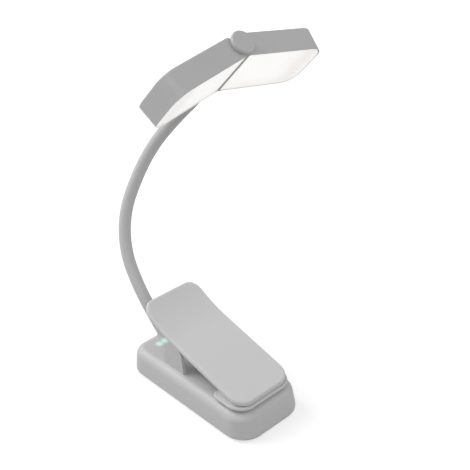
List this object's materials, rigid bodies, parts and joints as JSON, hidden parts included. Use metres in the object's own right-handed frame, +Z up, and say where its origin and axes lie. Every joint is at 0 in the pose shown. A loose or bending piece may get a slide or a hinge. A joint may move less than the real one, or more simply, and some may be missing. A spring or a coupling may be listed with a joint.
{
  "type": "clip-on reading lamp",
  "caption": "Rechargeable clip-on reading lamp with a sprung clip lever on a flat base, a flexible arm and a folding pair of lit wings.",
  "frame": {"origin": "middle of the foot pad's underside, on the floor", "axes": "+Z up, -Y towards the jaw end of the clip, +X across the base, to the right seen from the jaw"},
  "size_m": [0.1447, 0.1604, 0.2209],
  "materials": {
    "body_plastic": "satin moulded",
    "rubber": "matte",
    "arm_sleeve": "matte",
    "steel": "plain",
    "core_metal": "plain",
    "cell": "foil",
    "board": "solder mask",
    "contact_plastic": "plain",
    "lamp": "phosphor",
    "reflector": "white",
    "opal": "opal, lit",
    "light_pipe": "clear, lit green"
  },
  "bodies": {
    "base": {"base_shell": "body_plastic", "base_cover": "body_plastic", "foot_pad": "rubber", "cover_screws": "steel", "battery": "cell", "control_board": "board", "usb_socket": "steel", "usb_tongue": "contact_plastic", "tact_switch": "contact_plastic", "charge_leds": "lamp", "light_pipes": "light_pipe", "lower_jaw_pad": "rubber", "clip_pin": "steel", "clip_spring": "steel", "arm_core_0": "core_metal", "arm_sleeve_1": "arm_sleeve"},
    "power_button": {"power_button": "body_plastic"},
    "clip_lever": {"lever_plate": "body_plastic", "upper_jaw": "body_plastic", "upper_jaw_pad": "rubber"},
    "arm_1": {"arm_core_1": "core_metal", "arm_sleeve_2": "arm_sleeve"},
    "arm_2": {"arm_core_2": "core_metal", "arm_sleeve_3": "arm_sleeve"},
    "arm_3": {"arm_core_3": "core_metal", "arm_sleeve_4": "arm_sleeve"},
    "arm_4": {"arm_core_4": "core_metal", "arm_sleeve_5": "arm_sleeve"},
    "arm_5": {"arm_core_5": "core_metal", "arm_sleeve_6": "arm_sleeve"},
    "arm_6": {"arm_core_6": "core_metal", "arm_sleeve_7": "arm_sleeve"},
    "arm_7": {"arm_core_7": "core_metal", "arm_sleeve_8": "arm_sleeve"},
    "head_mount": {"arm_core_8": "core_metal", "head_spine": "steel", "hinge_cap": "body_plastic"},
    "left_wing": {"left_wing_housing": "body_plastic", "left_wing_led_board": "board", "left_wing_leds": "lamp", "left_wing_reflector": "reflector", "left_wing_diffuser": "opal"},
    "right_wing": {"right_wing_housing": "body_plastic", "right_wing_led_board": "board", "right_wing_leds": "lamp", "right_wing_reflector": "reflector", "right_wing_diffuser": "opal"}
  },
  "joints": [
    {"name": "clip_open", "type": "hinge", "parent": "base", "child": "clip_lever", "pos_m": [0, 0.016, 0.0285], "axis": [-1, 0, 0], "range_deg": [0, 25], "stiffness_Nm_per_rad": 0.6, "springref_deg": -31.51, "deforming": ["clip_spring"]},
    {"name": "power_press", "type": "slide", "parent": "base", "child": "power_button", "axis": [0, 0, -1], "range_m": [0, 0.0008], "stiffness_N_per_m": 800, "springref_m": -0.0015},
    {"name": "arm_nod_1", "type": "hinge", "parent": "base", "child": "arm_1", "pos_m": [0.00006, 0.05805, 0.02432], "axis": [1, -0.0064, -0.0059], "range_deg": [-24, 24], "deforming": ["arm_sleeve_1"]},
    {"name": "arm_sway_2", "type": "hinge", "parent": "arm_1", "child": "arm_2", "pos_m": [0.00074, 0.07626, 0.04285], "axis": [0.0029, 0.7489, -0.6627], "range_deg": [-24, 24], "deforming": ["arm_sleeve_2"]},
    {"name": "arm_nod_3", "type": "hinge", "parent": "arm_2", "child": "arm_3", "pos_m": [0.00388, 0.09168, 0.06345], "axis": [-0.9765, 0.1327, 0.17], "range_deg": [-24, 24], "deforming": ["arm_sleeve_3"]},
    {"name": "arm_sway_4", "type": "hinge", "parent": "arm_3", "child": "arm_4", "pos_m": [0.01199, 0.10042, 0.08639], "axis": [-0.1235, -0.963, 0.2396], "range_deg": [-24, 24], "deforming": ["arm_sleeve_4"]},
    {"name": "arm_nod_5", "type": "hinge", "parent": "arm_4", "child": "arm_5", "pos_m": [0.02358, 0.10073, 0.10955], "axis": [0.8594, -0.2152, -0.4639], "range_deg": [-24, 24], "deforming": ["arm_sleeve_5"]},
    {"name": "arm_sway_6", "type": "hinge", "parent": "arm_5", "child": "arm_6", "pos_m": [0.03457, 0.09433, 0.13214], "axis": [0.358, 0.9033, 0.2366], "range_deg": [-24, 24], "deforming": ["arm_sleeve_6"]},
    {"name": "arm_nod_7", "type": "hinge", "parent": "arm_6", "child": "arm_7", "pos_m": [0.04377, 0.08154, 0.15274], "axis": [-0.849, 0.2176, 0.4815], "range_deg": [-24, 24], "deforming": ["arm_sleeve_7"]},
    {"name": "arm_sway_8", "type": "hinge", "parent": "arm_7", "child": "head_mount", "pos_m": [0.049, 0.06506, 0.17211], "axis": [-0.4764, -0.6976, -0.5352], "range_deg": [-24, 24], "deforming": ["arm_sleeve_8"]},
    {"name": "left_wing_fold", "type": "hinge", "parent": "head_mount", "child": "left_wing", "pos_m": [0.05108, 0.04157, 0.19897], "axis": [-0.0441, 0.6573, -0.7524], "range_deg": [-1, 45]},
    {"name": "right_wing_fold", "type": "hinge", "parent": "head_mount", "child": "right_wing", "pos_m": [0.05108, 0.04157, 0.19897], "axis": [0.0441, -0.6573, 0.7524], "range_deg": [-1, 45]}
  ]
}
